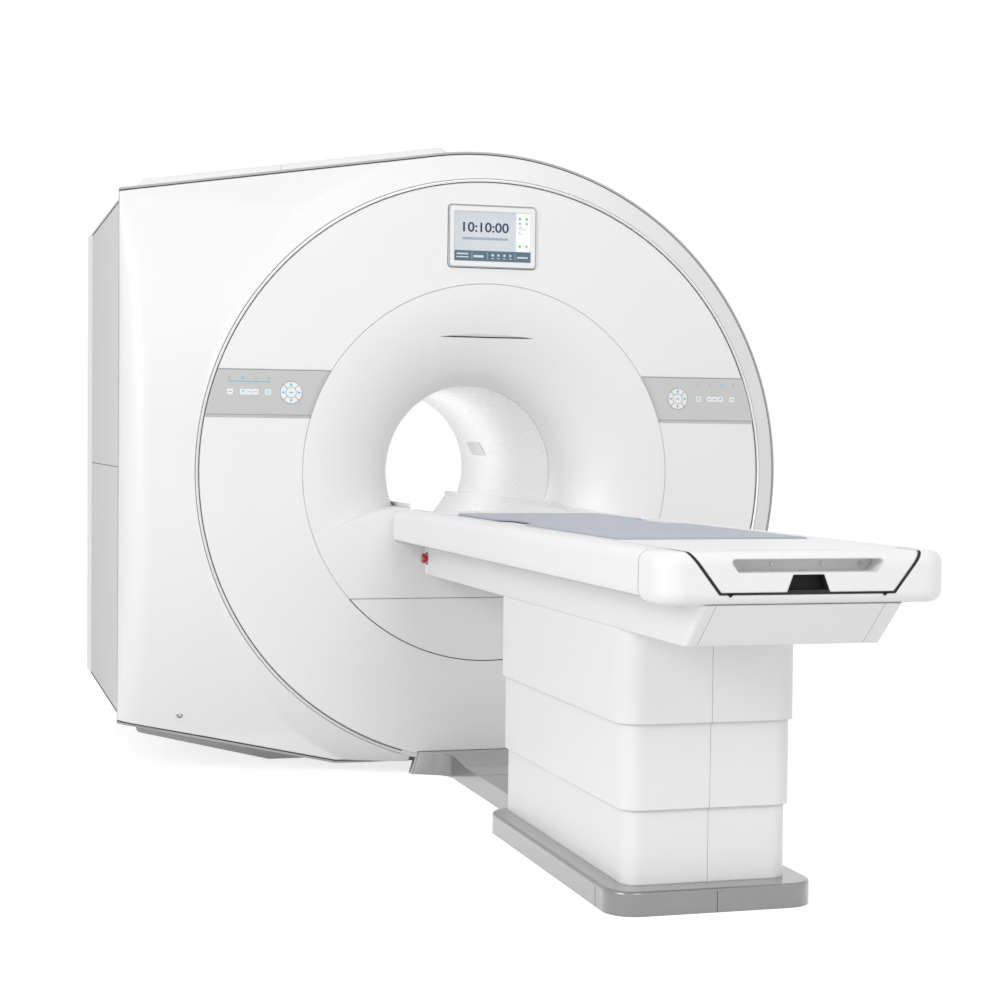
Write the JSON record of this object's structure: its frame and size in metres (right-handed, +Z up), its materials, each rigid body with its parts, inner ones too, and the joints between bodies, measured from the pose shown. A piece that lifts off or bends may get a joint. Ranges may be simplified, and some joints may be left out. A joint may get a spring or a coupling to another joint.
{
  "type": "mri scanner",
  "caption": "Round-fronted magnet housing with a flared patient bore, control panels and display, and a docked patient table on a telescoping column with a sliding top.",
  "frame": {"origin": "on the floor, straight below the middle of the bore", "axes": "+Y along the bore away from the foot end of the table, +Z up, +X to the right seen from the foot of the table"},
  "size_m": [2.3194, 4.185, 2.1408],
  "materials": {
    "white_cover": "satin moulded cover",
    "side_grey": "satin painted panel",
    "trim_grey": "satin moulded edging",
    "ring_metal": "brushed and anodised",
    "base_grey": "satin silver-grey paint",
    "panel_silver": "satin silver paint",
    "key_white": "satin",
    "screen": "lit display under glass",
    "stop_red": "gloss moulded",
    "mat_grey": "wipe-clean coated foam",
    "vessel_steel": "painted steel",
    "winding_copper": "superconducting windings on their former",
    "coil_resin": "cast resin with copper inside",
    "liner_white": "glossy laminate",
    "column_metal": "anodised",
    "steel": "ground",
    "belt_black": "matt"
  },
  "bodies": {
    "gantry": {"accent_ring": "ring_metal", "base_cover": "base_grey", "body_coil": "coil_resin", "body_cover": "white_cover", "bore_liner": "liner_white", "bore_plate": "liner_white", "bore_rail": "liner_white", "bridge_cover": "base_grey", "cold_head": "steel", "display_bezel": "white_cover", "display_screen": "screen", "docking_frame": "ring_metal", "edge_trim": "trim_grey", "front_disc": "white_cover", "front_shell": "white_cover", "gradient_coil": "coil_resin", "left_control_panel": "panel_silver", "left_lower_panel": "side_grey", "left_top_cover": "white_cover", "left_upper_panel": "side_grey", "lift_base": "steel", "lower_funnel": "white_cover", "lower_shroud": "white_cover", "magnet_coils": "winding_copper", "plinth": "base_grey", "rear_cover": "white_cover", "right_control_panel": "panel_silver", "right_top_cover": "white_cover", "upper_funnel": "white_cover", "vacuum_vessel": "vessel_steel"},
    "lift_middle": {"middle_shroud": "white_cover", "middle_column": "column_metal"},
    "table": {"upper_shroud": "white_cover", "upper_column": "column_metal", "table_tray": "white_cover", "tray_end_cap": "white_cover", "left_fascia": "white_cover", "right_fascia": "white_cover", "foot_end_cap": "white_cover", "table_rails": "steel", "table_drive": "belt_black"},
    "sliding_top": {"tabletop": "white_cover", "body_mat": "mat_grey", "foot_mat": "mat_grey"},
    "left_emergency_stop": {"left_emergency_stop": "stop_red"},
    "right_emergency_stop": {"right_emergency_stop": "stop_red"},
    "left_inner_key": {"left_inner_key": "key_white"},
    "left_outer_key": {"left_outer_key": "key_white"},
    "left_pad_key": {"left_pad_key": "key_white"},
    "left_pad_ring": {"left_pad_ring": "key_white"},
    "left_strip_key_1": {"left_strip_key_1": "key_white"},
    "left_strip_key_2": {"left_strip_key_2": "key_white"},
    "left_strip_key_3": {"left_strip_key_3": "key_white"},
    "right_inner_key": {"right_inner_key": "key_white"},
    "right_outer_key": {"right_outer_key": "key_white"},
    "right_pad_key": {"right_pad_key": "key_white"},
    "right_pad_ring": {"right_pad_ring": "key_white"},
    "right_strip_key_1": {"right_strip_key_1": "key_white"},
    "right_strip_key_2": {"right_strip_key_2": "key_white"},
    "right_strip_key_3": {"right_strip_key_3": "key_white"}
  },
  "joints": [
    {"name": "table_lift", "type": "slide", "parent": "gantry", "child": "table", "axis": [0, 0, 1], "range_m": [-0.35, 0]},
    {"name": "middle_lift", "type": "slide", "parent": "gantry", "child": "lift_middle", "axis": [0, 0, 1], "range_m": [-0.175, 0]},
    {"name": "top_slide", "type": "slide", "parent": "table", "child": "sliding_top", "axis": [0, 1, 0], "range_m": [0, 1.8]},
    {"name": "left_stop_press", "type": "slide", "parent": "table", "child": "left_emergency_stop", "axis": [1, 0, 0], "range_m": [0, 0.005], "stiffness_N_per_m": 1500, "springref_m": -0.002},
    {"name": "right_stop_press", "type": "slide", "parent": "table", "child": "right_emergency_stop", "axis": [-1, 0, 0], "range_m": [0, 0.005], "stiffness_N_per_m": 1500, "springref_m": -0.002},
    {"name": "left_inner_key_press", "type": "slide", "parent": "gantry", "child": "left_inner_key", "axis": [0, 1, 0], "range_m": [0, 0.0015], "stiffness_N_per_m": 500, "springref_m": -0.0005},
    {"name": "left_outer_key_press", "type": "slide", "parent": "gantry", "child": "left_outer_key", "axis": [0, 1, 0], "range_m": [0, 0.0015], "stiffness_N_per_m": 500, "springref_m": -0.0005},
    {"name": "left_pad_key_press", "type": "slide", "parent": "gantry", "child": "left_pad_key", "axis": [0, 1, 0], "range_m": [0, 0.0015], "stiffness_N_per_m": 500, "springref_m": -0.0005},
    {"name": "left_pad_ring_press", "type": "slide", "parent": "gantry", "child": "left_pad_ring", "axis": [0, 1, 0], "range_m": [0, 0.0015], "stiffness_N_per_m": 500, "springref_m": -0.0005},
    {"name": "left_strip_key_1_press", "type": "slide", "parent": "gantry", "child": "left_strip_key_1", "axis": [0, 1, 0], "range_m": [0, 0.0015], "stiffness_N_per_m": 500, "springref_m": -0.0005},
    {"name": "left_strip_key_2_press", "type": "slide", "parent": "gantry", "child": "left_strip_key_2", "axis": [0, 1, 0], "range_m": [0, 0.0015], "stiffness_N_per_m": 500, "springref_m": -0.0005},
    {"name": "left_strip_key_3_press", "type": "slide", "parent": "gantry", "child": "left_strip_key_3", "axis": [0, 1, 0], "range_m": [0, 0.0015], "stiffness_N_per_m": 500, "springref_m": -0.0005},
    {"name": "right_inner_key_press", "type": "slide", "parent": "gantry", "child": "right_inner_key", "axis": [0, 1, 0], "range_m": [0, 0.0015], "stiffness_N_per_m": 500, "springref_m": -0.0005},
    {"name": "right_outer_key_press", "type": "slide", "parent": "gantry", "child": "right_outer_key", "axis": [0, 1, 0], "range_m": [0, 0.0015], "stiffness_N_per_m": 500, "springref_m": -0.0005},
    {"name": "right_pad_key_press", "type": "slide", "parent": "gantry", "child": "right_pad_key", "axis": [0, 1, 0], "range_m": [0, 0.0015], "stiffness_N_per_m": 500, "springref_m": -0.0005},
    {"name": "right_pad_ring_press", "type": "slide", "parent": "gantry", "child": "right_pad_ring", "axis": [0, 1, 0], "range_m": [0, 0.0015], "stiffness_N_per_m": 500, "springref_m": -0.0005},
    {"name": "right_strip_key_1_press", "type": "slide", "parent": "gantry", "child": "right_strip_key_1", "axis": [0, 1, 0], "range_m": [0, 0.0015], "stiffness_N_per_m": 500, "springref_m": -0.0005},
    {"name": "right_strip_key_2_press", "type": "slide", "parent": "gantry", "child": "right_strip_key_2", "axis": [0, 1, 0], "range_m": [0, 0.0015], "stiffness_N_per_m": 500, "springref_m": -0.0005},
    {"name": "right_strip_key_3_press", "type": "slide", "parent": "gantry", "child": "right_strip_key_3", "axis": [0, 1, 0], "range_m": [0, 0.0015], "stiffness_N_per_m": 500, "springref_m": -0.0005}
  ],
  "couplings": [
    {"joint": "middle_lift", "follows": "table_lift", "ratio": 0.5}
  ]
}
